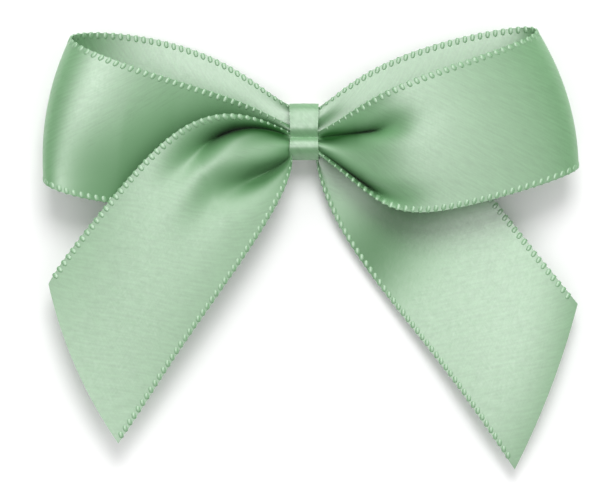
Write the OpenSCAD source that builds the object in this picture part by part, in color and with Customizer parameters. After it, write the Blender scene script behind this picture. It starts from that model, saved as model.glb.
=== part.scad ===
// Pre-made gift bow: one satin ribbon folded into two loops and two tails,
// gathered in the middle and bound by a narrow tie ribbon, with a foam pad on its back.
// The bow lies on its back: +X to its right, +Y to its top, +Z to its front.
// The origin is on the release liner's back face, behind the middle of the knot.

/* [Ribbon] */
// Thickness of the main ribbon with its woven edge
ribbon_t = 0.3; // [0.2:0.05:0.35]
// How far the loops and tails stand forward of the knot, as a share of the natural puff
puff = 1; // [0.9:0.05:1.15]
// How deep the gathers press into the loops and tails, as a share of the natural depth
gather = 1; // [0:0.1:1.2]

/* [Tie] */
// Width of the tie ribbon
tie_w = 3; // [2.6:0.1:3.4]
// Thickness of the tie ribbon
tie_t = 0.25; // [0.15:0.01:0.28]
// How far the gathered ribbon shows past each edge of the tie ribbon
gather_show = 0.2; // [0.1:0.05:0.3]
// Thickness of the binding thread
thread_d = 0.2; // [0.12:0.02:0.22]
// Number of turns of the binding thread
thread_turns = 4; // [3:1:5]

/* [Pad] */
// Length of the foam pad
pad_l = 5.2; // [4:0.2:6]
// Width of the foam pad
pad_w = 5; // [4:0.25:5.4]
// Thickness of the foam
foam_t = 1; // [0.8:0.05:1]
// How far the liner reaches past the pad on every side
liner_lip = 0.2; // [0:0.1:0.3]

/* [Hidden] */
$fn = 48;

liner_t = 0.1;
adhesive_t = 0.1;
glue_t = 0.1;
foam_z = liner_t + adhesive_t;
pad_top = foam_z + foam_t + adhesive_t;

// The tie ribbon's outer end lies on the pad, then the glue, its inner end and the thread.
outer_end_z = pad_top + tie_t / 2;
inner_end_z = outer_end_z + tie_t + glue_t;
pack_z = inner_end_z + tie_t / 2 + thread_d;

satin = [0.72, 0.86, 0.73];
satin_shade = [0.60, 0.77, 0.61];

// Control outline of the gathered middle, as Y and the height above pack_z: thin at the top
// where one layer lies, and full height with a groove where all three layers lie.
pack_control = [[2.45, 0], [2.45, 0.65], [1.7, 1.2], [0.7, 2.1], [0.2, 2.35], [-0.6, 2.05],
                [-1.4, 2.4], [-2, 2], [-2.5, 0.9], [-2.4, 0]];

// Where the loops and tails start, just clear of the gathered middle.
start_x = tie_w / 2 + gather_show + 0.2;

// Grid of each ribbon surface: steps along one leaf and across the ribbon.
leaf_steps = 26;
cross_steps = 15;

// ---- ribbon surfaces ----
// A leaf is one layer of ribbon from the knot (u = 0) out to a fold or a cut end (u = 1).
// Its upper and lower edges are Bezier curves, and v runs across from upper (0) to lower (1).
// crown bows the middle of the ribbon out of the straight line between the edges.
// Each gather is [v at the knot, v far out, half width in v, depth, u of the deepest place].

left_fold_up = [-24, 9.8, 3.6];
left_fold_low = [-26.8, -5, 3.4];
left_fold_turn = [0, -1.4, 5.6];
right_fold_up = [24, 10.5, 3.2];
right_fold_low = [28.3, -3.6, 3.2];
right_fold_turn = [0, -1.6, 3.8];

left_back = [
    [[-start_x, 2.6, 2.3], [-6.7, 5.5, 1.6], [-8, 10.4, 1.2], left_fold_up - left_fold_turn, left_fold_up],
    [[-start_x, -2.4, 2.3], [-4, -4, 1.4], [-13, -9.5, 1], left_fold_low - left_fold_turn, left_fold_low],
    [[0, 0, 0], [0, 0, 0], [0, 0, 0], [-1, 0.2, -0.3], [-1, 0.2, 0]]];
left_front = [
    [[-start_x, 0.6, 3.15], [-8.7, 4.5, 4.2], [-8, 3.5, 4.8], left_fold_up + left_fold_turn, left_fold_up],
    [[-start_x, -2.5, 3.15], [-5, -6, 3.8], [-10.5, -10.5, 4.2], left_fold_low + left_fold_turn, left_fold_low],
    [[0, 0, 0], [0, 0, 0], [0, 0, 0.2], [-1, 0.2, 0.3], [-1, 0.2, 0]]];
right_back = [
    [[start_x, 2.3, 3.15], [6.5, 6, 2.9], [6.5, 8.4, 2.4], right_fold_up - right_fold_turn, right_fold_up],
    [[start_x, -2.3, 3.15], [5, -3.5, 2.7], [13, -12, 2.4], right_fold_low - right_fold_turn, right_fold_low],
    [[0, 0, 0], [0, 0, 0], [0, 0, 0], [1, 0.2, -0.3], [1, 0.2, 0]]];
right_front = [
    [[start_x, -0.1, 4], [9.8, 4.5, 7.5], [5, 4, 10], right_fold_up + right_fold_turn, right_fold_up],
    [[start_x, -2.1, 4], [11.8, -10.6, 6.5], [6.3, -10.2, 9.4], right_fold_low + right_fold_turn, right_fold_low],
    [[0, 0, 0], [0, 0, 0], [0, 0, 0.6], [1, 0.2, 0.4], [1, 0.2, 0]]];
left_hang = [
    [[-start_x, -0.1, 4], [-12.8, 5.7, 8.4], [-13.3, -0.6, 10.5], [-23.4, -10.2, 7.5], [-26.4, -15.7, 1.2]],
    [[-start_x, -2.6, 4], [-1, -7.5, 5.5], [-13.7, -22, 5], [-12.9, -23.2, 2.5], [-19.2, -32.2, 0.8]],
    [[0, 0, 0], [0, 0, 0], [0, 0, 0.6], [0, 0, 0.6], [-0.8, -0.3, 0.3]]];
right_hang = [
    [[start_x, 1.6, 2.3], [12.3, 6.5, 1], [16.9, -4, 0.4], [22.8, -11, 0.5], [28.4, -17.8, 1.4]],
    [[start_x, -2.6, 2.3], [2.5, -12.3, 1], [11.7, -19.4, 0.4], [16.5, -26.9, 0.4], [21.9, -35, 1.2]],
    [[0, 0, 0], [0, 0, 0.2], [0, 0, 0.3], [0, 0, 0.5], [0.4, -0.2, 0.6]]];

right_front_gathers = [[0.23, 0.45, 0.12, 1.5, 0.18], [0.88, 0.98, 0.1, 0.9, 0.14]];
left_hang_gathers = [[0.22, 0.3, 0.13, 1.6, 0.13], [0.8, 0.62, 0.11, 0.9, 0.1]];
left_front_gathers = [[0.3, 0.4, 0.13, 0.5, 0.14]];

// A quartic Bezier curve through five stations.
function quartic(p, t) =
    let (w = 1 - t)
    p[0] * w^4 + 4 * p[1] * w^3 * t + 6 * p[2] * w^2 * t^2 + 4 * p[3] * w * t^3 + p[4] * t^4;

// How deep the gathers press a place on a leaf: each is a valley that grows from the knot
// to its deepest place and fades out beyond it.
function gather_depth(gathers, u, v) =
    let (depths = [for (g = gathers)
        let (reach = u / g[4],
             centre = g[0] + (g[1] - g[0]) * min(2 * u, 1),
             spread = g[2] * (0.8 + 2.4 * min(u, 0.5)))
        gather * g[3] * reach * exp((1 - reach^2) / 2) * exp(-((v - centre) / spread)^2)])
    len(depths) == 0 ? 0 : depths * [for (d = depths) 1];

// A point on a leaf.
function on_leaf(leaf, gathers, u, v) =
    let (p = quartic(leaf[0], u) * (1 - v) + quartic(leaf[1], u) * v
            + quartic(leaf[2], u) * 4 * v * (1 - v) - [0, 0, gather_depth(gathers, u, v)])
    [p[0], p[1], pad_top + (p[2] - pad_top) * puff];

// A rows-by-columns grid of points thickened to a closed ribbon: each row becomes a ring
// of points that goes across on one face and comes back on the other.
module ribbon_solid(grid) {
    rows = len(grid);
    cols = len(grid[0]);
    ring = 2 * cols;
    points = [for (i = [0 : rows - 1]) for (k = [0 : ring - 1])
        let (j = k < cols ? k : ring - 1 - k,
             along = grid[min(i + 1, rows - 1)][j] - grid[max(i - 1, 0)][j],
             across = grid[i][min(j + 1, cols - 1)] - grid[i][max(j - 1, 0)],
             normal = cross(along, across),
             side = k < cols ? 0.5 : -0.5)
        grid[i][j] + side * ribbon_t * normal / norm(normal)];
    walls = [for (i = [0 : rows - 2]) for (k = [0 : ring - 1])
        let (a = i * ring + k, b = i * ring + (k + 1) % ring)
        each [[a, b, b + ring], [a, b + ring, a + ring]]];
    last = (rows - 1) * ring;
    ends = [for (j = [0 : cols - 2])
        let (a = j, b = ring - 1 - j)
        each [[a, b, b - 1], [a, b - 1, a + 1],
              [last + a, last + b - 1, last + b], [last + a, last + a + 1, last + b - 1]]];
    polyhedron(points, concat(walls, ends), convexity = 6);
}

// A loop: its back leaf out to the fold, then its front leaf back to the knot.
module loop_solid(back, front, front_gathers) {
    ribbon_solid([
        for (i = [0 : leaf_steps]) [for (j = [0 : cross_steps])
            on_leaf(back, [], i / leaf_steps, j / cross_steps)],
        for (i = [leaf_steps - 1 : -1 : 0]) [for (j = [0 : cross_steps])
            on_leaf(front, front_gathers, i / leaf_steps, j / cross_steps)]]);
}

// A tail: one leaf from the knot to its slanted cut end.
module tail_solid(leaf, gathers) {
    ribbon_solid([for (i = [0 : leaf_steps]) [for (j = [0 : cross_steps])
        on_leaf(leaf, gathers, i / leaf_steps, j / cross_steps)]]);
}

module left_loop() {
    color(satin) loop_solid(left_back, left_front, left_front_gathers);
}

module right_loop() {
    color(satin) loop_solid(right_back, right_front, right_front_gathers);
}

module left_tail() {
    color(satin) tail_solid(left_hang, left_hang_gathers);
}

module right_tail() {
    color(satin) tail_solid(right_hang, []);
}

// ---- the knot ----
// Corner cutting: each corner of a closed outline is replaced by two points, a quarter of
// the way along the sides that meet there.
function cut_corners(outline) =
    let (n = len(outline))
    [for (i = [0 : n - 1])
        let (a = outline[i], b = outline[(i + 1) % n])
        each [0.75 * a + 0.25 * b, 0.25 * a + 0.75 * b]];

// A path moved sideways by d, to the right of its direction of travel.
function beside(path, d, closed) =
    let (n = len(path))
    [for (i = [0 : n - 1])
        let (before = closed ? path[(i + n - 1) % n] : path[max(i - 1, 0)],
             after = closed ? path[(i + 1) % n] : path[min(i + 1, n - 1)],
             travel = (after - before) / norm(after - before))
        path[i] + d * [travel[1], -travel[0]]];

// The gathered middle's rounded outline, grown outward by d.
function pack_outline(d) =
    beside(cut_corners(cut_corners([for (p = pack_control) [p[0], pack_z + p[1]]])), d, true);

// Sweeps an outline in Y and Z along X, centred on the knot.
module across_knot(length) {
    rotate([90, 0, 90]) translate([0, 0, -length / 2]) linear_extrude(length) children();
}

module centre_gathers() {
    color(satin_shade) across_knot(tie_w + 2 * gather_show) polygon(pack_outline(0));
}

// One turn of thread round the gathered ribbon, with its outer edges stepped in.
module thread_turn() {
    difference() {
        union() {
            across_knot(thread_d) polygon(pack_outline(0.6 * thread_d));
            across_knot(0.6 * thread_d) polygon(pack_outline(thread_d));
        }
        across_knot(2 * thread_d) polygon(pack_outline(0));
    }
}

// The turns lie side by side under the tie ribbon.
module binding_thread() {
    pitch = 0.95 * thread_d;
    color("white") for (turn = [0 : thread_turns - 1])
        translate([(turn - (thread_turns - 1) / 2) * pitch, 0, 0]) thread_turn();
}

// The tie ribbon starts at its inner end behind the thread, goes once round the front and
// ends on the pad, where its outer end laps the inner one.
module tie_band() {
    lap = 1.3;
    round_pack = pack_outline(thread_d + tie_t / 2);
    wrap = [for (i = [len(round_pack) - 1 : -1 : 0])
        let (p = round_pack[i])
        if (p[0] < 0 || p[1] > pack_z + 0.15) p];
    side_y = wrap[len(wrap) - 1][0];
    outer_end = [[side_y, outer_end_z + 0.45], [side_y - 0.15, outer_end_z + 0.1],
                 [side_y - 0.5, outer_end_z], [-lap, outer_end_z]];
    path = concat([[lap, inner_end_z]], wrap, outer_end);
    inner = beside(path, -tie_t / 2, false);
    outer = beside(path, tie_t / 2, false);
    color(satin) across_knot(tie_w)
        polygon(concat(inner, [for (i = [len(outer) - 1 : -1 : 0]) outer[i]]));
}

// The glue fills the lap between the tie ribbon's two ends.
module tie_glue() {
    color([0.93, 0.9, 0.75]) translate([0, 0, outer_end_z + tie_t / 2])
        linear_extrude(glue_t) square([2, 1.8], center = true);
}

// ---- the pad ----
// A flat sheet with rounded corners, from height z0, of thickness t, wider than the pad by lip.
module pad_sheet(z0, t, lip) {
    corner = 0.6;
    translate([0, 0, z0]) linear_extrude(t) union() {
        square([pad_l + 2 * lip, pad_w + 2 * lip - 2 * corner], center = true);
        square([pad_l + 2 * lip - 2 * corner, pad_w + 2 * lip], center = true);
        for (sx = [-1, 1]) for (sy = [-1, 1])
            translate([sx * (pad_l / 2 + lip - corner), sy * (pad_w / 2 + lip - corner)]) circle(corner);
    }
}

module foam_pad() {
    color("white") pad_sheet(foam_z, foam_t, 0);
}

module pad_adhesive_front() {
    color([0.9, 0.88, 0.8]) pad_sheet(foam_z + foam_t, adhesive_t, 0);
}

module pad_adhesive_back() {
    color([0.9, 0.88, 0.8]) pad_sheet(liner_t, adhesive_t, 0);
}

module release_liner() {
    color([0.95, 0.93, 0.86]) pad_sheet(0, liner_t, liner_lip);
}

left_tail();
left_loop();
centre_gathers();
right_loop();
right_tail();
tie_band();
binding_thread();
tie_glue();
foam_pad();
pad_adhesive_front();
pad_adhesive_back();
release_liner();
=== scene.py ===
"""Looks of a pre-made gift bow: satin ribbon loops and tails, a tie ribbon and a foam pad.

The bow lies on its back: +X to its right, +Y to its top, +Z out of its front. Every shape
is a surface worked out on a grid in millimetres and put into its mesh in metres.
"""

import bpy
import numpy as np
from mathutils import Matrix


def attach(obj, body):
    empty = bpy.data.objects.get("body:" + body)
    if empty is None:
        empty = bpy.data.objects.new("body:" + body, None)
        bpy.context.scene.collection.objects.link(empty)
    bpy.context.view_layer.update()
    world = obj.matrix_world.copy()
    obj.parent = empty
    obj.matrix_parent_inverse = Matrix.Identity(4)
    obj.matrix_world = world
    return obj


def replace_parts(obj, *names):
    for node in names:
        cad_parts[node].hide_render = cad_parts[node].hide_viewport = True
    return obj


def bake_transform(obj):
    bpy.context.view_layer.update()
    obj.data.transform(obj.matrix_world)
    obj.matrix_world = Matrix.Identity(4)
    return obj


bl_info = {
    "name": "Satin Gift Bow",
    "version": (1, 0, 0),
    "blender": (4, 5, 0),
    "location": "View3D > Sidebar > Gift Bow",
    "description": "Builds a satin gift bow with woven edges around its packed frame",
    "category": "Add Mesh",
}

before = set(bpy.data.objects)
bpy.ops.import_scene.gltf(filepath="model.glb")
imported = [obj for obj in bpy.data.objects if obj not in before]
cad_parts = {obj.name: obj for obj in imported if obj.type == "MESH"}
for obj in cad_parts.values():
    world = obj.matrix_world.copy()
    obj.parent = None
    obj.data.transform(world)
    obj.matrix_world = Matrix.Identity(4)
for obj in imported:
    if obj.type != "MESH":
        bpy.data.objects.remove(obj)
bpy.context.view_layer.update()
MM = 0.001
UV_UNIT = 10.0  # millimetres of ribbon in one unit of its UV map


# ---------------------------------------------------------------- settings


class BowRibbonSettings(bpy.types.PropertyGroup):
    """Sizes of the bow ribbon, its woven edge and the tie ribbon."""

    width: bpy.props.FloatProperty(
        name="Ribbon width", description="Width that the bow ribbon is woven to",
        default=0.015, unit="LENGTH")
    thickness: bpy.props.FloatProperty(
        name="Ribbon thickness", description="Thickness of the satin between its edges",
        default=0.00014, unit="LENGTH")
    stitch_pitch: bpy.props.FloatProperty(
        name="Edge loop spacing", description="Distance from one edge loop to the next",
        default=0.0008, unit="LENGTH")
    stitch_length: bpy.props.FloatProperty(
        name="Edge loop length", description="Length of one slanted loop of the woven edge",
        default=0.00078, unit="LENGTH")
    stitch_width: bpy.props.FloatProperty(
        name="Edge loop width", description="Width of one slanted loop of the woven edge",
        default=0.0006, unit="LENGTH")
    stitch_height: bpy.props.FloatProperty(
        name="Edge loop height", description="Thickness of the ribbon over an edge loop",
        default=0.00028, unit="LENGTH")
    tie_thickness: bpy.props.FloatProperty(
        name="Tie thickness", description="Thickness of the tie ribbon",
        default=0.0002, unit="LENGTH")


class BowColourSettings(bpy.types.PropertyGroup):
    """Colours of the bow's materials."""

    satin: bpy.props.FloatVectorProperty(
        name="Satin", description="Colour of the satin's raised threads",
        subtype="COLOR", size=3, default=(0.15, 0.385, 0.155))
    # Colour between the satin's threads, and also of the painted shade in gathers and the
    # painted shadow under other ribbons.
    satin_deep: bpy.props.FloatVectorProperty(
        name="Satin between threads", description="Colour between the satin's threads",
        subtype="COLOR", size=3, default=(0.01, 0.06, 0.01))
    edge: bpy.props.FloatVectorProperty(
        name="Woven edge", description="Colour of the loops along the ribbon's edges",
        subtype="COLOR", size=3, default=(0.17, 0.4, 0.175))
    thread: bpy.props.FloatVectorProperty(
        name="Binding thread", description="Colour of the thread round the gathers",
        subtype="COLOR", size=3, default=(0.72, 0.78, 0.70))
    foam: bpy.props.FloatVectorProperty(
        name="Foam", description="Colour of the foam pad",
        subtype="COLOR", size=3, default=(0.86, 0.86, 0.84))
    adhesive: bpy.props.FloatVectorProperty(
        name="Adhesive", description="Colour of the adhesive films and the glue",
        subtype="COLOR", size=3, default=(0.80, 0.76, 0.62))
    liner: bpy.props.FloatVectorProperty(
        name="Liner", description="Colour of the release liner",
        subtype="COLOR", size=3, default=(0.84, 0.80, 0.68))


class BowStageSettings(bpy.types.PropertyGroup):
    """The camera, the lights and the floor."""

    lens: bpy.props.FloatProperty(
        name="Lens", description="Focal length of the camera",
        default=200.0, unit="CAMERA")
    picture_width: bpy.props.FloatProperty(
        name="Picture width", description="Width that the picture takes in at the bow",
        default=0.06204, unit="LENGTH")
    light_power: bpy.props.FloatProperty(
        name="Softbox power", description="Power of the soft lights round the bow",
        default=1.6, unit="POWER")
    room_strength: bpy.props.FloatProperty(
        name="Room light", description="Strength of the even light of the room",
        default=0.8, min=0.0)
    floor: bpy.props.FloatVectorProperty(
        name="Floor", description="Colour of the floor",
        subtype="COLOR", size=3, default=(0.92, 0.92, 0.92))


# ---------------------------------------------------------------- ribbon shapes

# A leaf is one layer of ribbon from inside the tie ribbon (u = 0) out to a fold or a cut
# end (u = 1). Each of its edges is a quartic Bezier curve led by five stations, and v runs
# across the ribbon from the upper edge (0) to the lower one (1). The last two stations of a
# loop's leaf come from its fold. The crown bows the middle out of the straight line between
# the edges. Each gather is a valley: (v at the knot, v further out, half width in v, depth,
# u of its deepest place, u where it reaches the v further out, pinch of its rims); painted
# shade darkens the satin down in it. A painted shadow, a soft dark zone painted where another
# ribbon lies over this one, is given as (u on the upper edge, u on the lower edge, half width
# in u, share). A last share is how much the satin darkens, as painted shade, where a gather
# or that painted shadow has its full share. Pleats are (number across, height, phase in
# turns).

KNOT_X = 1.3            # where a ribbon leaves the knot
LEAF_CROWDING = 1.25    # power that crowds a leaf's rows towards the knot
LOOP_SIZE = (150, 96)   # rows and columns of points on each leaf of a loop
TAIL_SIZE = (200, 110)  # rows and columns of points on a tail
PLEAT_FADE = 0.07       # u over which the pleats die away
SPREAD = (0.8, 1.2, 0.5)  # a gather's width at the knot, its gain, and the u of its full width
SHADE_RISE = 10         # power of the shade's rise towards a gather's deepest place
SHADE_RIM = (0.04, 0.16, 0.1)  # how far shade passes a gather: everywhere, at the knot, fade
SHADE_CORE = (1.5, 1.2)        # strength and narrowness of the shade in a gather
# Gather depth from which the painted shade in a gather is full.
FULL_SHADE_DEPTH = 3                # depth from which a gather is fully dark

LEFT_FOLD = ((-24, 9.8, 5), (-26.8, -5, 4.8), (-0.4, -1.4, 5.6), 1.2)
RIGHT_FOLD = ((24, 10.5, 4.5), (28.3, -3.6, 4.5), (0, -1.6, 3.9), 1)

LEFT_BACK = {
    "upper": ((-KNOT_X, 2.7, 2.3), (-6.7, 5.5, 0.9), (-8, 10.4, 1.1)),
    "lower": ((-KNOT_X, -2.5, 2.3), (-4, -4, 1), (-13, -9.5, 1)),
    "crown": ((0, 0, 0), (0, 0, 0.4), (0, 0, 0.4), (-1, 0.2, -0.3), (-1, 0.2, 0)),
    "gathers": ((0.45, 0.5, 0.16, -0.35, 0.12, 0.5, 0),),
    "painted_shade_share": 0.3,
    "pleats": (2.5, 0.2, 0.1),
}
LEFT_FRONT = {
    "upper": ((-KNOT_X, 0.6, 3.15), (-8.7, 4.5, 4.6), (-8, 3.5, 4.6)),
    "lower": ((-KNOT_X, -2.6, 3.15), (-5, -6, 3.2), (-10.5, -10.5, 2.4)),
    "crown": ((0, 0, 0), (0, 0, 0), (0, 0, 0.2), (-1, 0.2, 0.3), (-1, 0.2, 0)),
    "gathers": ((0.25, 0.95, 0.2, 2.6, 0.38, 0.65, 0),),
    "painted_shade_share": 0.75,
    # Painted shadow of the left tail, which lies over this leaf.
    "under": (0.22, 0.66, 0.2, 0.5),
    "pleats": (3.0, 0.2, 0.6),
}
RIGHT_BACK = {
    "upper": ((KNOT_X, 2.4, 3.15), (6.5, 6, 1.9), (6.5, 8.4, 3)),
    "lower": ((KNOT_X, -2.4, 3.15), (5, -3.5, 1.9), (13, -12, 3.2)),
    "crown": ((0, 0, 0), (0, 0, 0.6), (0, 0, 0.5), (1, 0.2, -0.3), (1, 0.2, 0)),
    "gathers": ((0.3, 0.45, 0.14, 0.3, 0.12, 0.5, 0),),
    "painted_shade_share": 0.3,
    "pleats": (2.5, 0.2, 0.35),
}
RIGHT_FRONT = {
    "upper": ((KNOT_X, -0.1, 4), (9.8, 4.5, 8.3), (5, 4, 11)),
    "lower": ((KNOT_X, -2.1, 4), (11.8, -10.6, 5.8), (6.3, -10.2, 7.4)),
    "crown": ((0, 0, 0), (0, 0, 0), (0, 0, 0.6), (1, 0.2, 0.4), (1, 0.2, 0)),
    "gathers": ((0.27, 0.3, 0.06, 3.2, 0.15, 0.5, 0.3),
                (0.86, 0.93, 0.07, 1.9, 0.16, 0.5, 0.25)),
    "painted_shade_share": 0.95,
    "pleats": (3.0, 0.15, 0.1),
}
LEFT_HANG = {
    "upper": ((-KNOT_X, -0.1, 4), (-12.8, 5.7, 8.8), (-13.3, -0.6, 7),
              (-23.4, -10.2, 4.6), (-26.4, -15.7, 4)),
    "lower": ((-KNOT_X, -2.7, 4), (-0.5, -7.5, 5.5), (-13.7, -22, 5),
              (-12.9, -23.2, 4.2), (-19.2, -32.2, 4)),
    "crown": ((0, 0, 0), (0, 0, 0), (0, 0, 0.6), (0, 0, 0.6), (-0.8, -0.3, 0.3)),
    "gathers": ((0.17, 0.19, 0.065, 3.2, 0.18, 0.4, 0.3),
                (0.85, 0.5, 0.09, 1.8, 0.18, 0.35, 0.25)),
    "painted_shade_share": 0.95,
    "pleats": (3.0, 0.15, 0.4),
}
RIGHT_HANG = {
    "upper": ((KNOT_X, 1.6, 2.3), (12.3, 6.5, 0.7), (16.9, -4, 0.2),
              (22.8, -11, 3.6), (28.4, -17.8, 2.6)),
    "lower": ((KNOT_X, -2.7, 2.3), (2.5, -12.3, 0.7), (11.7, -19.4, 0.5),
              (16.5, -26.9, 3.4), (21.9, -35, 2.2)),
    "crown": ((0, 0, 0), (0, 0, 0.2), (0, 0, 0.3), (0, 0, 0.5), (0.4, -0.2, 0.6)),
    "gathers": (),
    "painted_shade_share": 1,
    # Painted shadow of the right loop, which lies over this tail.
    "under": (0.43, 0.31, 0.13, 0.54),
    "pleats": (3.0, 0.15, 0.8),
}


def folded(leaf, fold, side):
    """The leaf with its last two stations at a fold: side -1 comes in behind, 1 in front.
    A fold is its upper corner, its lower corner, its turn, and how much more the front
    bulges than the back."""
    upper, lower, turn = (np.array(p, float) for p in fold[:3])
    turn = turn * (fold[3] if side > 0 else 1)
    ends = {"upper": (upper + side * turn, upper), "lower": (lower + side * turn, lower)}
    return {**leaf, **{edge: (*leaf[edge], *ends[edge]) for edge in ends}}


def quartic(stations, u):
    """Quartic Bezier curve: each station weighted by its Bernstein term at u."""
    weights = np.array((1, 4, 6, 4, 1))
    powers = np.arange(5)
    terms = weights * u[:, None] ** powers * (1 - u[:, None]) ** (4 - powers)
    return terms @ np.array(stations, float)


def press(leaf, u, v):
    """How far gathers and pleats move a leaf in height and across the ribbon, and how much
    painted shade darkens each point down in a gather. A gather is a valley, Gaussian across
    the ribbon, that grows with u to its deepest place and fades like the flank of a bell
    beyond it;
    its two rims move in over it by the pinch times the slope of the Gaussian. Its painted
    shade is a wider Gaussian, held at one and scaled by the gather's depth. Pleats are a
    cosine across that dies away exponentially from the knot."""
    height, aside, painted_shade = np.zeros((3, len(u), len(v)))
    narrow, gain, full = SPREAD
    rim, knot_rim, rim_fade = SHADE_RIM
    strength, narrowness = SHADE_CORE
    for v_knot, v_far, half_width, depth, deepest, end, pinch in leaf["gathers"]:
        reach = u / deepest
        centre = v_knot + (v_far - v_knot) * np.minimum(u / end, 1)
        spread = half_width * (narrow + gain * np.minimum(u / full, 1))
        flank = np.exp((1 - reach**2) / 2)
        along = (depth * reach * flank)[:, None]
        off = (v - centre[:, None]) / spread[:, None]
        height -= along * np.exp(-(off**2))
        # Painted shade down in the gather: dark towards its deepest place and a little past
        # its rims.
        bell = np.where(reach < 1, 1 - (1 - reach) ** SHADE_RISE, flank)[:, None]
        margin = rim + knot_rim * np.exp(-u / rim_fade)
        wide = off * (spread / (spread + margin))[:, None]
        core = np.minimum(strength * bell * np.exp(-narrowness * wide**2), 1)
        painted_shade = np.maximum(painted_shade, min(depth / FULL_SHADE_DEPTH, 1) * core)
        aside -= pinch * along * off * np.exp(-(off**2) / 2)
    count, depth, phase = leaf["pleats"]
    wave = np.cos(2 * np.pi * (count * v + phase))
    return height + depth * np.exp(-u / PLEAT_FADE)[:, None] * wave, aside, painted_shade


def leaf_grid(leaf, u, v):
    """Points of a leaf: the straight line between its edges, plus the crown as a parabola
    across the ribbon, plus the press of gathers and pleats. A fourth column says how dark each
    point is painted: painted shade down in the gathers, and a painted shadow where another
    ribbon lies over this one, which is Gaussian along the leaf."""
    upper, lower, crown = (quartic(leaf[k], u)[:, None] for k in ("upper", "lower", "crown"))
    across = v[None, :, None]
    points = upper * (1 - across) + lower * across + 4 * crown * across * (1 - across)
    height, aside, painted_shade = press(leaf, u, v)
    points[..., 2] += height
    points += aside[..., None] * unit(lower - upper)
    # Painted shadow where another ribbon lies over this one.
    if "under" in leaf:
        near, far, width, share = leaf["under"]
        off = (u[:, None] - near - (far - near) * v) / width
        painted_shade = np.maximum(painted_shade, share * np.exp(-(off**2)))
    return np.concatenate((points, leaf["painted_shade_share"] * painted_shade[..., None]), axis=-1)


def crowded(count, power):
    """Steps from 0 to 1 that crowd towards 0, as an even step raised to a power."""
    return np.linspace(0, 1, count) ** power


def loop_grid(back, front):
    """A loop: the back leaf out to the fold, then the front leaf back to the knot."""
    rows, cols = LOOP_SIZE
    u, v = crowded(rows, LEAF_CROWDING), np.linspace(0, 1, cols)
    return np.concatenate((leaf_grid(back, u, v), leaf_grid(front, u[-2::-1], v)))


def tail_grid(leaf):
    """A tail: one leaf from the knot to its cut end."""
    rows, cols = TAIL_SIZE
    return leaf_grid(leaf, crowded(rows, LEAF_CROWDING), np.linspace(0, 1, cols))


def unit(vectors):
    """Vectors scaled to length one."""
    return vectors / np.linalg.norm(vectors, axis=-1, keepdims=True)


def grid_normals(grid):
    """Normals of a grid: the cross product of its slopes along rows and columns."""
    return unit(np.cross(np.gradient(grid, axis=0), np.gradient(grid, axis=1)))


def run_lengths(points):
    """Distance travelled along the first axis of an array of points."""
    steps = np.linalg.norm(np.diff(points, axis=0), axis=-1)
    return np.concatenate((np.zeros((1, *steps.shape[1:])), np.cumsum(steps, axis=0)))


# ---------------------------------------------------------------- meshes

SHARP = 0.9           # edges that turn by more than this, in radians, stay hard
BEAD_SIZE = (5, 8)    # rings of one edge loop, and points in a ring
BEAD_BLUNT = 0.7      # power of a bead's profile: below one is blunter than an ellipsoid
FIRST_BEAD = 0.6      # where the first edge loop sits, in spacings from the ribbon's end
BEAD_INSET = 0.84     # how far a bead sits inside the edge, in half lengths
FULL_GATHER = 10      # millimetres between the edges from which edge loops have full length
LEAST_BEAD = 0.45     # share of their length that edge loops keep in the knot


def mesh_piece(name, points, faces, uv=None, sharp=None):
    """A mesh object at the origin from points in millimetres and faces of three or four
    corners, with an optional UV for each point and edges sharper than an angle kept hard."""
    mesh = bpy.data.meshes.new(name)
    mesh.from_pydata((points * MM).tolist(), [], faces)
    if uv is not None:
        corners = np.empty(len(mesh.loops), np.int32)
        mesh.loops.foreach_get("vertex_index", corners)
        layer = mesh.uv_layers.new(name="Ribbon")
        layer.data.foreach_set("uv", uv[corners].astype(np.float32).ravel())
    mesh.shade_smooth()
    if sharp is not None:
        mesh.set_sharp_from_angle(angle=sharp)
    mesh.validate()
    piece = bpy.data.objects.new(name, mesh)
    bpy.context.scene.collection.objects.link(piece)
    return piece


def ring_faces(rings, count):
    """Quads between each ring of count points and the next, each ring closed on itself."""
    ring, step = np.meshgrid(np.arange(rings - 1), np.arange(count), indexing="ij")
    a = ring * count + step
    b = ring * count + (step + 1) % count
    return np.stack((a, b, b + count, a + count), axis=-1).reshape(-1, 4)


def ribbon_piece(name, grid, thickness, width):
    """A grid of middle points thickened to a closed ribbon. Each row becomes a ring that
    goes across on one face and comes back on the other; both ends are closed by quads. The
    grid's fourth column becomes the painted shade and painted shadow that the satin darkens
    by."""
    rows, cols = grid.shape[:2]
    painted_shade, grid = grid[..., 3], grid[..., :3]
    offset = grid_normals(grid) * thickness / 2
    rings = np.concatenate((grid + offset, (grid - offset)[:, ::-1]), axis=1)
    side = np.arange(cols - 1)
    other = 2 * cols - 1 - side
    start = np.stack((side, other, other - 1, side + 1), axis=-1)
    end = (rows - 1) * 2 * cols + start[:, ::-1]
    faces = np.concatenate((ring_faces(rows, 2 * cols)[:, ::-1], start[:, ::-1], end[:, ::-1]))
    along = np.repeat(run_lengths(grid[:, cols // 2])[:, None], cols, axis=1)
    across = np.linspace(-width / 2, width / 2, cols)[None] * np.ones((rows, 1))
    uv = np.stack((along, across), axis=-1) / UV_UNIT
    uv = np.concatenate((uv, uv[:, ::-1]), axis=1)
    piece = mesh_piece(name, rings.reshape(-1, 3), faces.tolist(), uv.reshape(-1, 2), SHARP)
    # Painted shade in the gathers and painted shadow under other ribbons, for the satin.
    gathered = piece.data.attributes.new("gather_depth", "FLOAT", "POINT")
    gathered.data.foreach_set("value", np.concatenate((painted_shade, painted_shade[:, ::-1]), axis=1).ravel())
    return piece


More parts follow.
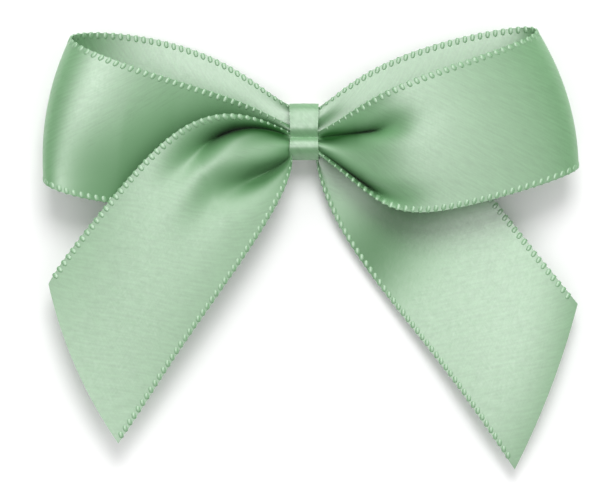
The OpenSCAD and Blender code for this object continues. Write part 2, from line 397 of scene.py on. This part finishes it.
def bead():
    """A unit bead: rings round its long axis and two poles. Its radius is the sine of the
    angle from the pole, raised to a power. Returns its points as (long, wide, high) and its
    faces."""
    rings, count = BEAD_SIZE
    angle = np.linspace(0, np.pi, rings + 2)[1:-1]
    turn = np.arange(count) * 2 * np.pi / count
    long_axis = np.cos(angle)[:, None] * np.ones(count)
    radius = np.sin(angle)[:, None] ** BEAD_BLUNT
    body = np.stack((long_axis, radius * np.cos(turn), radius * np.sin(turn)), axis=-1)
    points = np.concatenate((body.reshape(-1, 3), [(1.0, 0, 0), (-1.0, 0, 0)]))
    step = np.arange(count)
    after = (step + 1) % count
    top, bottom, last = rings * count, rings * count + 1, (rings - 1) * count
    quads = ring_faces(rings, count)[:, ::-1].tolist()
    caps = [(top, int(a), int(b)) for a, b in zip(step, after)]
    caps += [(bottom, int(last + b), int(last + a)) for a, b in zip(step, after)]
    return points, quads + caps


def edging_piece(name, grid, pitch, length, width, height, slant):
    """Slanted loops of thread set side by side along both long edges of a ribbon: beads at
    even steps of run length, each turned by the slant in the ribbon's own surface. Where the
    ribbon is gathered narrow, the beads shorten in step with it."""
    shape, shape_faces = bead()
    grid = grid[..., :3]
    normals = grid_normals(grid)
    gathered = np.linalg.norm(grid[:, -1] - grid[:, 0], axis=-1) / FULL_GATHER
    placed = []
    for column, inward in ((0, 1), (-1, -1)):
        edge = grid[:, column]
        runs = run_lengths(edge)
        count = int((runs[-1] - pitch / 2) / pitch)
        at = (np.arange(count) + FIRST_BEAD) * pitch
        centre, normal, across = (
            np.stack([np.interp(at, runs, values[:, k]) for k in range(3)], axis=-1)
            for values in (edge, normals[:, column],
                           inward * np.gradient(grid, axis=1)[:, column]))
        normal, across = unit(normal), unit(across)
        along = np.cross(normal, across) * inward
        lean = slant[column]
        long_axis = across * np.cos(lean) + along * np.sin(lean)
        wide_axis = np.cross(normal, long_axis)
        share = np.clip(np.interp(at, runs, gathered), LEAST_BEAD, 1)[:, None, None]
        half = np.array((length, width, height)) / 2
        centre = centre + across * (BEAD_INSET * half[0] * np.cos(lean)) * share[:, 0]
        placed.append(
            centre[:, None]
            + shape[None, :, :1] * half[0] * share * long_axis[:, None]
            + shape[None, :, 1:2] * half[1] * share * wide_axis[:, None]
            + shape[None, :, 2:] * half[2] * normal[:, None])
    points = np.concatenate(placed)
    faces = [
        tuple(i * len(shape) + corner for corner in face)
        for i in range(len(points)) for face in shape_faces]
    beads = np.repeat(np.arange(len(points)), len(shape))
    uv = np.stack((np.tile(shape[:, 0], len(points)) * length / 2 + beads * pitch,
                   np.tile(shape[:, 1], len(points)) * width / 2), axis=-1) / UV_UNIT
    return mesh_piece(name, points.reshape(-1, 3), faces, uv)


# ---------------------------------------------------------------- knot shapes

# The outline of the gathered ribbon in Y and Z, round its waist, as corners to be cut.
PACK_Z = 2.1        # height of the outline's own zero
PACK_CORNERS = (
    (2.45, 0), (2.6, 1.65), (1.9, 2.15), (0.8, 2.4), (0.2, 2.35),
    (-0.55, 1.5), (-1.3, 2.45), (-2, 2), (-2.5, 0.9), (-2.4, 0))
THREAD = 0.2        # thread under the tie ribbon
TIE_WIDTH = 3.0
TIE_MIDDLE = 0.325  # from the gathered ribbon's outline to the middle of the tie ribbon
INNER_END = 1.775   # height of the tie ribbon's inner end
OUTER_END = 1.425   # height of its outer end, on the pad
LAP = 1.3           # how far each end reaches past the middle
PAD = (5.2, 5.0, 0.2, 1.2, 0.6)  # length, width, back, front and corner of the foam pad
TIE_SIZE = (260, 31)   # points along and across the tie ribbon
TIE_FRONT = (2.6, 1.2)  # height where the tie's front begins, and over which it comes in
TIE_EDGE = {  # spacing, size and lean of the tie ribbon's edge loops
    "pitch": 0.62, "length": 0.42, "width": 0.3, "height": 0.26, "slant": (0.5, 0.5)}
GATHERS_END = 1.36     # half length of the gathers inside the tie
GATHERS_SIZE = (33, 240)  # stations along the gathers, and points round each
GATHERS_PLEATS = 26    # pleats round the gathers
THREAD_TURNS = 4       # turns of the binding thread
THREAD_REACH = 0.36    # half of the length that the thread's turns take up
THREAD_RADIUS = 0.082  # mean radius of the thread
PAD_RINGS = (16, 15)   # rings on each flat of the pad, and down its side
PAD_ROUND = 176        # points round the pad


def corners_cut(points, times):
    """A closed outline with each corner cut at a quarter of its two sides, so many times."""
    for _ in range(times):
        after = np.roll(points, -1, axis=0)
        points = np.stack((0.75 * points + 0.25 * after, 0.25 * points + 0.75 * after), axis=1)
        points = points.reshape(-1, points.shape[-1])
    return points


def resampled(points, count):
    """An open path with count points at even run lengths."""
    runs = run_lengths(points)
    at = np.linspace(0, runs[-1], count)
    return np.stack([np.interp(at, runs, values) for values in points.T], axis=-1)


def eased(points, times):
    """An open path whose inner points move to the weighted mean of themselves and their
    neighbours (1, 2, 1), so many times."""
    points = points.copy()
    for _ in range(times):
        points[1:-1] = (points[:-2] + 2 * points[1:-1] + points[2:]) / 4
    return points


def pack_outline(out, count=160):
    """The gathered ribbon's closed outline moved outwards along its own normals."""
    points = corners_cut(np.array(PACK_CORNERS, float) + (0, PACK_Z), 3)
    points = resampled(np.vstack((points, points[:1])), count + 1)[:-1]
    for _ in range(2):
        points = (np.roll(points, 1, axis=0) + 2 * points + np.roll(points, -1, axis=0)) / 4
    slope = np.roll(points, -1, axis=0) - np.roll(points, 1, axis=0)
    return points + out * unit(np.stack((slope[:, 1], -slope[:, 0]), axis=-1))


def tie_path():
    """Middle of the tie ribbon in Y and Z: from its inner end up the lower side, over the
    front, down the upper side and back under itself to its outer end."""
    outline = pack_outline(TIE_MIDDLE)[::-1]
    start = np.argmax((outline[:, 0] < 0) & (outline[:, 1] < PACK_Z))
    outline = np.roll(outline, -start, axis=0)
    wrap = outline[(outline[:, 0] < 0) | (outline[:, 1] > PACK_Z + 0.15)]
    side = wrap[-1, 0]
    outer = ((side, OUTER_END + 0.45), (side - 0.15, OUTER_END + 0.1),
             (side - 0.5, OUTER_END), (-LAP, OUTER_END))
    path = np.vstack(((LAP, INNER_END), wrap, outer))
    return eased(resampled(path, TIE_SIZE[0]), 6)


def tie_grid():
    """The tie ribbon: its path carried across X. It is pinched a little over the front and
    bows out between its edges like a shallow parabola with three faint creases. The fourth
    column stays zero: no painted shade on it."""
    path = tie_path()
    begins, over = TIE_FRONT
    share = np.linspace(-1, 1, TIE_SIZE[1])
    slope = unit(np.gradient(path, axis=0))
    outward = np.stack((-slope[:, 1], slope[:, 0]), axis=-1)
    front = np.clip((path[:, 1] - begins) / over, 0, 1)
    half = TIE_WIDTH / 2 - 0.09 * front * np.exp(-((path[:, 0] / 1.4) ** 2))
    puff = 0.05 * (1 - share**2) + 0.012 * np.cos(3 * np.pi * share)
    rise = front[:, None] * puff[None]
    grid = np.zeros((len(path), len(share), 4))
    grid[..., 0] = half[:, None] * share[None]
    grid[..., 1:3] = path[:, None] + rise[..., None] * outward[:, None]
    return grid


def capped_rings(rings):
    """Points and faces of closed rings, each joined to the next, whose first and last ring
    are closed by a fan round their middle."""
    count, size = rings.shape[:2]
    points = np.vstack((rings.reshape(-1, 3), rings[0].mean(0), rings[-1].mean(0)))
    faces = ring_faces(count, size).tolist()
    step = np.arange(size)
    after = (step + 1) % size
    first, last = count * size, count * size + 1
    faces += np.stack((np.full(size, first), after, step), -1).tolist()
    faces += (np.stack((np.full(size, last), step, after), -1)
              + ((0,) + ((count - 1) * size,) * 2)).tolist()
    return points, faces


def gathers_rings():
    """The gathered ribbon inside the tie: the pack outline carried along X, its pleats a
    cosine round the outline that is pressed flat in the middle and opens to both ends."""
    count, size = GATHERS_SIZE
    outline = pack_outline(-0.12, size)
    away = unit(outline - outline.mean(0))
    turn = np.linspace(0, 2 * np.pi, size, endpoint=False)
    wave = np.cos(GATHERS_PLEATS * turn + 1.3 * np.sin(3 * turn))
    rings = np.empty((count, size, 3))
    for ring, x in zip(rings, np.linspace(-GATHERS_END, GATHERS_END, count)):
        open_share = (x / GATHERS_END) ** 2
        pleat = 0.05 * (0.3 + open_share) * wave
        inset = 0.05 + 0.1 * open_share
        ring[:, 0] = x
        ring[:, 1:] = outline + (pleat - inset)[:, None] * away
    return rings


def thread_rings():
    """The binding thread: turns of a helix round the gathers. Its section is two plies, a
    circle whose radius swells twice round the section and turns along the thread."""
    sides, steps = 10, 90
    outline = pack_outline(THREAD / 2 - 0.01, steps)
    around = np.tile(outline, (THREAD_TURNS, 1))
    x = np.linspace(-THREAD_REACH, THREAD_REACH, len(around))
    slope = np.roll(outline, -1, axis=0) - np.roll(outline, 1, axis=0)
    outward = unit(np.stack((slope[:, 1], -slope[:, 0]), axis=-1))
    outward = np.tile(outward, (THREAD_TURNS, 1))
    angle = np.linspace(0, 2 * np.pi, sides, endpoint=False)
    twist = np.arange(len(around)) * 0.5
    radius = THREAD_RADIUS * (1 + 0.13 * np.cos(2 * (angle[None] - twist[:, None])))
    rings = np.empty((len(around), sides, 3))
    rings[..., 0] = x[:, None] + radius * np.sin(angle)
    rings[..., 1:] = around[:, None] + (radius * np.cos(angle))[..., None] * outward[:, None]
    return rings


def pad_rings():
    """The foam pad: a profile of (share of the outline, height) carried round a rectangle
    with rounded corners, with the open cells as small seeded steps in and out."""
    length, width, back, front, corner = PAD
    flat, wall = PAD_RINGS
    turn = (np.arange(PAD_ROUND) + 0.5) * 2 * np.pi / PAD_ROUND
    reach = np.stack((np.cos(turn), np.sin(turn)), axis=-1)
    half = np.array((length, width)) / 2
    rounded = np.sign(reach) * np.abs(reach) ** (corner / 2)
    outline = rounded * half
    inward = np.linspace(0.04, 0.97, flat)
    side = np.linspace(0, 1, wall)
    share = np.concatenate((inward, 1 - 0.02 * np.sin(np.pi * side), inward[::-1]))
    height = np.concatenate((np.full(flat, back), back + (front - back) * side,
                             np.full(flat, front)))
    rings = np.empty((len(share), len(turn), 3))
    rings[..., :2] = share[:, None, None] * outline
    rings[..., 2] = height[:, None]
    cells = np.random.default_rng(5).uniform(-1, 0, rings.shape[:2])
    rings[..., :2] *= (1 + 0.022 * cells * (np.abs(share - 1) < 0.025)[:, None])[..., None]
    inside = (share < 0.98)[:, None] * 0.03 * cells
    rings[..., 2] += np.where(height[:, None] > 0.7, inside, -inside)
    return rings


# ---------------------------------------------------------------- materials

SATIN_LEVEL = 0.8      # specular level of the ribbon's yarns in the open
SATIN_COAT = 0.4       # weight of their coat of soft gloss in the open
YARN_GLOSS = {
    "IOR": 1.8, "Specular_IOR_Level": SATIN_LEVEL, "Coat_Weight": SATIN_COAT,
    "Coat_Roughness": 0.66, "Coat_IOR": 1.7}
BAND = (0.62, 0.45)    # millimetres inside the edge where its close band fades in and is full
BAND_SHADE = 0.16      # how much the band darkens the satin


class Shader:
    """A new material with a Principled shader, and short ways to add nodes to it. A mapped
    one uses the ribbon's UV map, any other the object's own coordinates."""

    mapped = True

    def __init__(self, name, roughness, **sockets):
        self.material = bpy.data.materials.new(name)
        self.material.use_nodes = True
        self.tree = self.material.node_tree
        self.surface = self.tree.nodes["Principled BSDF"]
        self.surface.inputs["Roughness"].default_value = roughness
        for socket, value in sockets.items():
            self.surface.inputs[socket.replace("_", " ")].default_value = value

    def node(self, kind, settings=(), **inputs):
        """A node with settings as attributes, and inputs that are values or other sockets."""
        made = self.tree.nodes.new(kind)
        for key, value in dict(settings).items():
            setattr(made, key, value)
        for socket, value in inputs.items():
            self.feed(made.inputs[socket.replace("_", " ")], value)
        return made

    def feed(self, socket, value):
        """Links an output to the socket, or sets the socket's own value."""
        if isinstance(value, bpy.types.NodeSocket):
            self.tree.links.new(value, socket)
        else:
            socket.default_value = value

    def coordinates(self, turn=0.0):
        """The ribbon's own UV map, or the object's coordinates, turned."""
        if self.mapped:
            source = self.node("ShaderNodeUVMap", {"uv_map": "Ribbon"}).outputs["UV"]
        else:
            source = self.node("ShaderNodeTexCoord").outputs["Object"]
        turned = self.node("ShaderNodeMapping", Vector=source, Rotation=(0, 0, turn))
        return turned.outputs["Vector"]

    def noise(self, scale, detail=3.0, roughness=0.5, turn=0.0):
        """Noise over the coordinates, turned and then stretched."""
        stretched = self.node(
            "ShaderNodeMapping", Vector=self.coordinates(turn), Scale=scale)
        return self.node(
            "ShaderNodeTexNoise", Vector=stretched.outputs["Vector"], Scale=1.0,
            Detail=detail, Roughness=roughness).outputs["Fac"]

    def math(self, operation, a, b):
        """One operation on two values or sockets."""
        made = self.node("ShaderNodeMath", {"operation": operation})
        self.feed(made.inputs[0], a)
        self.feed(made.inputs[1], b)
        return made.outputs[0]

    def ranged(self, value, low, high, to_low, to_high):
        """A value moved from one range to another and held inside it."""
        return self.node(
            "ShaderNodeMapRange", Value=value, From_Min=low, From_Max=high,
            To_Min=to_low, To_Max=to_high).outputs["Result"]

    def colour(self, factor, first, second):
        """The base colour mixed from two colours by a factor. The node's colour sockets share
        their names with others, so they are found by their places."""
        made = self.node("ShaderNodeMix", {"data_type": "RGBA"})
        self.feed(made.inputs["Factor"], factor)
        made.inputs[6].default_value = (*first, 1)
        made.inputs[7].default_value = (*second, 1)
        self.feed(self.surface.inputs["Base Color"], made.outputs[2])

    def bump(self, height, distance, strength=1.0):
        """A bump of that height in metres under the shader's normal."""
        made = self.node("ShaderNodeBump", Height=height, Distance=distance,
                         Strength=strength)
        self.feed(self.surface.inputs["Normal"], made.outputs["Normal"])


def darker(colour, share):
    """The colour times a share."""
    return tuple(share * part for part in colour)


def once(build):
    """Makes a material the first time it is asked for, and gives the same one after that."""
    def found():
        name = "finish_" + build.__name__
        return bpy.data.materials.get(name) or build(name).material
    return found


@once
def bow_satin(name):
    """Polyester satin: long floats of yarn along the ribbon crossed by fine rows, slanting
    twill lines and a faint cloud. It darkens in a close-woven band just inside each edge and
    by the painted shade in the gathers and painted shadow under other ribbons, whichever is
    more, and its gloss falls with the square of the share that this painted shade leaves."""
    colours = bpy.context.scene.bow_colours
    satin = Shader(
        name, 0.52, **YARN_GLOSS, Anisotropic=0.4, Anisotropic_Rotation=0.25,
        Sheen_Weight=0.12, Sheen_Roughness=0.45, Sheen_Tint=(0.85, 1.0, 0.86, 1))
    tangent = satin.node("ShaderNodeTangent", {"direction_type": "UV_MAP", "uv_map": "Ribbon"})
    satin.feed(satin.surface.inputs["Tangent"], tangent.outputs["Tangent"])
    yarns = satin.noise((9, 110, 1), 2.0, 0.6)
    rows = satin.noise((60, 12, 1), 2.0, 0.6)
    cloud = satin.noise((1.2, 2.0, 1), 2.0)
    weave = satin.math("ADD", satin.math("MULTIPLY", yarns, 0.5),
                       satin.math("MULTIPLY", rows, 0.5))
    twill = satin.noise((5, 48, 1), 1.0, 0.5, 0.75)
    tone = satin.math("ADD", satin.math("MULTIPLY", weave, 0.3),
                      satin.math("ADD", satin.math("MULTIPLY", twill, 0.55),
                                 satin.math("MULTIPLY", cloud, 0.15)))
    half_width = bpy.context.scene.bow_ribbon.width / MM / UV_UNIT / 2
    begins, full = (half_width - inset / UV_UNIT for inset in BAND)
    across = satin.node("ShaderNodeSeparateXYZ", Vector=satin.coordinates())
    off_middle = satin.math("ABSOLUTE", across.outputs["Y"], 0.0)
    band = satin.ranged(off_middle, begins, full, 0, BAND_SHADE)
    # Painted shade in the gathers and painted shadow under other ribbons, from the mesh,
    # darken the colour.
    painted_shade_share = satin.node("ShaderNodeAttribute", {"attribute_name": "gather_depth"})
    shade = satin.math("MAXIMUM", band, painted_shade_share.outputs["Fac"])
    satin.colour(satin.math("MAXIMUM", satin.ranged(tone, 0.35, 0.65, 0, 0.22), shade),
                 colours.satin, colours.satin_deep)
    # The gloss also falls where shade and shadow are painted.
    open_share = satin.math("SUBTRACT", 1.0, painted_shade_share.outputs["Fac"])
    open_share = satin.math("MULTIPLY", open_share, open_share)
    satin.feed(satin.surface.inputs["Coat Weight"],
               satin.math("MULTIPLY", open_share, SATIN_COAT))
    satin.feed(satin.surface.inputs["Specular IOR Level"],
               satin.math("MULTIPLY", open_share, SATIN_LEVEL))
    satin.feed(satin.surface.inputs["Roughness"], satin.ranged(weave, 0.3, 0.7, 0.47, 0.58))
    satin.bump(weave, 0.000008, 0.6)
    return satin


@once
def edge_yarn(name):
    """Thicker yarn of the woven edges: fine fibres along each slanted loop."""
    colours = bpy.context.scene.bow_colours
    yarn = Shader(name, 0.52, **YARN_GLOSS, Sheen_Weight=0.15, Sheen_Roughness=0.5)
    fibres = yarn.noise((20, 160, 1), 2.0, 0.6)
    yarn.colour(yarn.ranged(fibres, 0.3, 0.7, 0, 1), colours.edge, colours.satin)
    yarn.bump(fibres, 0.000004, 0.5)
    return yarn


@once
def binding_thread(name):
    """Spun thread: fuzzy and matt, its fibres darker between the plies."""
    colours = bpy.context.scene.bow_colours
    thread = Shader(name, 0.7, Sheen_Weight=0.2)
    thread.mapped = False
    fibres = thread.noise((9000, 9000, 9000), 3.0, 0.6)
    shade = darker(colours.thread, 0.8)
    thread.colour(thread.ranged(fibres, 0.35, 0.65, 0, 1), colours.thread, shade)
    thread.bump(fibres, 0.00002, 0.6)
    return thread


@once
def pad_foam(name):
    """White closed-cell foam: round cell pits with painted shade in their middles, so the thin
    walls between them read bright.
    """
    colours = bpy.context.scene.bow_colours
    foam = Shader(name, 0.75, Specular_IOR_Level=0.3, Subsurface_Weight=0.1,
                  Subsurface_Scale=0.0004)
    foam.mapped = False
    cells = foam.node("ShaderNodeTexVoronoi", {"feature": "F1"},
                      Vector=foam.coordinates(), Scale=7000.0).outputs["Distance"]
    # Painted shade in the middle of each cell pit.
    shade = darker(colours.foam, 0.82)
    foam.colour(foam.ranged(cells, 0.1, 0.6, 0, 1), shade, colours.foam)
    foam.bump(cells, 0.00006, 0.8)
    return foam


@once
def tack_film(name):
    """Clear amber adhesive: glossy, with faint ripples where it was coated."""
    colours = bpy.context.scene.bow_colours
    film = Shader(name, 0.22, Specular_IOR_Level=0.6, Coat_Weight=0.4, Coat_Roughness=0.1)
    film.mapped = False
    ripple = film.noise((900, 3500, 900), 2.0)
    shade = darker(colours.adhesive, 0.88)
    film.colour(film.ranged(ripple, 0.35, 0.65, 0, 1), colours.adhesive, shade)
    film.bump(ripple, 0.00003, 0.5)
    return film


@once
def liner_paper(name):
    """Release paper: smooth pale kraft with short flecks of fibre."""
    colours = bpy.context.scene.bow_colours
    paper = Shader(name, 0.5, Specular_IOR_Level=0.5)
    paper.mapped = False
    flecks = paper.noise((2500, 9000, 2500), 4.0, 0.65)
    shade = darker(colours.liner, 0.84)
    paper.colour(paper.ranged(flecks, 0.35, 0.7, 0, 1), colours.liner, shade)
    paper.bump(flecks, 0.00001, 0.5)
    return paper


# ---------------------------------------------------------------- pieces

# Lean of the edge loops on the upper and lower edge of each ribbon, in radians.
EDGE_SLANT = {
    "left_loop": (0.5, 0.4), "right_loop": (0.5, 0.4),
    "left_tail": (0.5, 0.3), "right_tail": (0.3, 0.5)}


def dressed(piece, material):
    """The piece with one material."""
    piece.data.materials.clear()
    piece.data.materials.append(material)
    return piece


def add_ribbon(node, grid):
    """One stretch of the bow ribbon and its woven edges."""
    sizes = bpy.context.scene.bow_ribbon
    cloth = ribbon_piece(node + "_ribbon", grid, sizes.thickness / MM, sizes.width / MM)
    edging = edging_piece(
        node + "_edging", grid, sizes.stitch_pitch / MM, sizes.stitch_length / MM,
        sizes.stitch_width / MM, sizes.stitch_height / MM, EDGE_SLANT[node])
    for piece, material in ((cloth, bow_satin()), (edging, edge_yarn())):
        dressed(piece, material)
        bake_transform(piece)
    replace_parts(cloth, node)
    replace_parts(edging, node)


class GIFTBOW_OT_loops(bpy.types.Operator):
    """Build the bow's two loops, each a back leaf, a fold and a front leaf"""

    bl_idname = "gift_bow.loops"
    bl_label = "Loops"

    def execute(self, context):
        for node, back, front, fold, side in (
                ("left_loop", LEFT_BACK, LEFT_FRONT, LEFT_FOLD, -1),
                ("right_loop", RIGHT_BACK, RIGHT_FRONT, RIGHT_FOLD, 1)):
            add_ribbon(node, loop_grid(folded(back, fold, -1), folded(front, fold, 1)))
        return {"FINISHED"}


class GIFTBOW_OT_tails(bpy.types.Operator):
    """Build the bow's two tails, which end in slanting cuts"""

    bl_idname = "gift_bow.tails"
    bl_label = "Tails"

    def execute(self, context):
        add_ribbon("left_tail", tail_grid(LEFT_HANG))
        add_ribbon("right_tail", tail_grid(RIGHT_HANG))
        return {"FINISHED"}


class GIFTBOW_OT_gathers(bpy.types.Operator):
    """Build the pleated ribbon inside the knot"""

    bl_idname = "gift_bow.gathers"
    bl_label = "Gathers"

    def execute(self, context):
        points, faces = capped_rings(gathers_rings())
        uv = points[:, :2] / UV_UNIT
        piece = dressed(mesh_piece("knot_gathers", points, faces, uv, SHARP), bow_satin())
        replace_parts(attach(piece, "knot"), "centre_gathers")
        return {"FINISHED"}


class GIFTBOW_OT_tie(bpy.types.Operator):
    """Build the tie ribbon round the knot, with its own narrow woven edges"""

    bl_idname = "gift_bow.tie"
    bl_label = "Tie ribbon"

    def execute(self, context):
        sizes = context.scene.bow_ribbon
        grid = tie_grid()
        band = ribbon_piece("tie_ribbon", grid, sizes.tie_thickness / MM, TIE_WIDTH)
        edging = edging_piece("tie_edging", grid, **TIE_EDGE)
        for piece, material in ((band, bow_satin()), (edging, edge_yarn())):
            dressed(piece, material)
            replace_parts(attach(piece, "knot"), "tie_band")
        return {"FINISHED"}


class GIFTBOW_OT_thread(bpy.types.Operator):
    """Build the thread that binds the gathers under the tie ribbon"""

    bl_idname = "gift_bow.thread"
    bl_label = "Binding thread"

    def execute(self, context):
        points, faces = capped_rings(thread_rings())
        piece = dressed(mesh_piece("thread_turns", points, faces), binding_thread())
        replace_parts(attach(piece, "knot"), "binding_thread")
        return {"FINISHED"}


class GIFTBOW_OT_pad(bpy.types.Operator):
    """Build the foam pad, and finish the adhesive films, the glue and the liner"""

    bl_idname = "gift_bow.pad"
    bl_label = "Pad and liner"

    def execute(self, context):
        points, faces = capped_rings(pad_rings())
        piece = dressed(mesh_piece("foam_pad_cells", points, faces, None, SHARP), pad_foam())
        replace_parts(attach(piece, "knot"), "foam_pad")
        for node in ("pad_adhesive_front", "pad_adhesive_back", "tie_glue"):
            dressed(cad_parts[node], tack_film())
        dressed(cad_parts["release_liner"], liner_paper())
        return {"FINISHED"}


# ---------------------------------------------------------------- stage


def pointed(thing, place, target):
    """Puts an object at a place and turns its -Z to a target, with +Y kept upwards."""
    back = unit(np.array(place, float) - target)
    right = unit(np.cross((0, 1, 0), back))
    up = np.cross(back, right)
    thing.matrix_world = Matrix(
        [(right[k], up[k], back[k], place[k]) for k in range(3)] + [(0, 0, 0, 1)])


def add_softbox(name, place, target, size, power, matte):
    """A square area light of that size, turned to its target. Without matte it only adds
    gloss."""
    light = bpy.data.lights.new(name, "AREA")
    light.shape = "SQUARE"
    light.size = size
    light.energy = power
    lamp = bpy.data.objects.new(name, light)
    lamp.visible_diffuse = matte
    bpy.context.scene.collection.objects.link(lamp)
    pointed(lamp, place, target)


# Each softbox: its name, place, size, share of the stage's power, and whether it lights
# matt surfaces too or only adds gloss.
SOFTBOXES = (
    ("main", (-0.01, 0.08, 0.80), 0.25, 1.65, False),
    ("left", (-0.17, -0.14, 0.77), 0.25, 1.8, False),
    ("top", (0.04, 0.45, 0.66), 0.35, 2.4, True),
    ("rim", (0.00, 0.63, 0.49), 0.3, 1.2, False),
)
AIM = (-0.00041, -0.01153, 0.004)  # where the camera and the lights point
FLOOR_REACH = 1.5                  # half of the floor's width, in metres


class GIFTBOW_OT_stage(bpy.types.Operator):
    """Build the floor, the soft lights and the camera"""

    bl_idname = "gift_bow.stage"
    bl_label = "Stage"

    def execute(self, context):
        scene, stage = context.scene, context.scene.bow_stage
        scene.view_settings.view_transform = "Standard"
        reach = np.array((-FLOOR_REACH, FLOOR_REACH)) / MM
        corners = np.array([(x, y, 0.0) for x in reach for y in reach])
        floor = mesh_piece("floor", corners, [(0, 2, 3, 1)])
        paint = Shader("floor_card", 0.9, Specular_IOR_Level=0.2)
        paint.mapped = False
        grain = paint.noise((400, 400, 400), 2.0)
        paint.colour(grain, stage.floor, darker(stage.floor, 0.99))
        dressed(floor, paint.material)
        world = bpy.data.worlds.new("room")
        world.use_nodes = True
        room = world.node_tree.nodes["Background"]
        room.inputs["Color"].default_value = (1, 1, 1, 1)
        room.inputs["Strength"].default_value = stage.room_strength
        scene.world = world
        world.cycles_visibility.glossy = False
        for name, place, size, share, matte in SOFTBOXES:
            add_softbox(name, place, AIM, size, share * stage.light_power, matte)
        camera = bpy.data.cameras.new("camera")
        camera.sensor_width = 36.0
        camera.lens = stage.lens
        camera.clip_start = 0.01
        distance = stage.picture_width * stage.lens / camera.sensor_width
        eye = bpy.data.objects.new("camera", camera)
        scene.collection.objects.link(eye)
        pointed(eye, np.array(AIM) + (0, 0, distance), AIM)
        scene.camera = eye
        return {"FINISHED"}


# ---------------------------------------------------------------- add-on

OPERATORS = (
    GIFTBOW_OT_loops, GIFTBOW_OT_tails, GIFTBOW_OT_gathers, GIFTBOW_OT_tie,
    GIFTBOW_OT_thread, GIFTBOW_OT_pad, GIFTBOW_OT_stage)
GROUPS = {
    "bow_ribbon": BowRibbonSettings,
    "bow_colours": BowColourSettings,
    "bow_stage": BowStageSettings,
}


class GIFTBOW_PT_panel(bpy.types.Panel):
    """Settings and build steps of the gift bow"""

    bl_idname = "GIFTBOW_PT_panel"
    bl_label = "Gift Bow"
    bl_space_type = "VIEW_3D"
    bl_region_type = "UI"
    bl_category = "Gift Bow"

    def draw(self, context):
        for name, group in GROUPS.items():
            box = self.layout.box()
            for key in group.__annotations__:
                box.prop(getattr(context.scene, name), key)
        for operator in OPERATORS:
            self.layout.operator(operator.bl_idname)


def register():
    for made in (*GROUPS.values(), *OPERATORS, GIFTBOW_PT_panel):
        bpy.utils.register_class(made)
    for name, group in GROUPS.items():
        setattr(bpy.types.Scene, name, bpy.props.PointerProperty(type=group))


def unregister():
    for name in GROUPS:
        delattr(bpy.types.Scene, name)
    for made in reversed((*GROUPS.values(), *OPERATORS, GIFTBOW_PT_panel)):
        bpy.utils.unregister_class(made)


def main():
    register()
    bpy.ops.gift_bow.loops()
    bpy.ops.gift_bow.tails()
    bpy.ops.gift_bow.gathers()
    bpy.ops.gift_bow.tie()
    bpy.ops.gift_bow.thread()
    bpy.ops.gift_bow.pad()
    bpy.ops.gift_bow.stage()


if __name__ == "__main__":
    main()
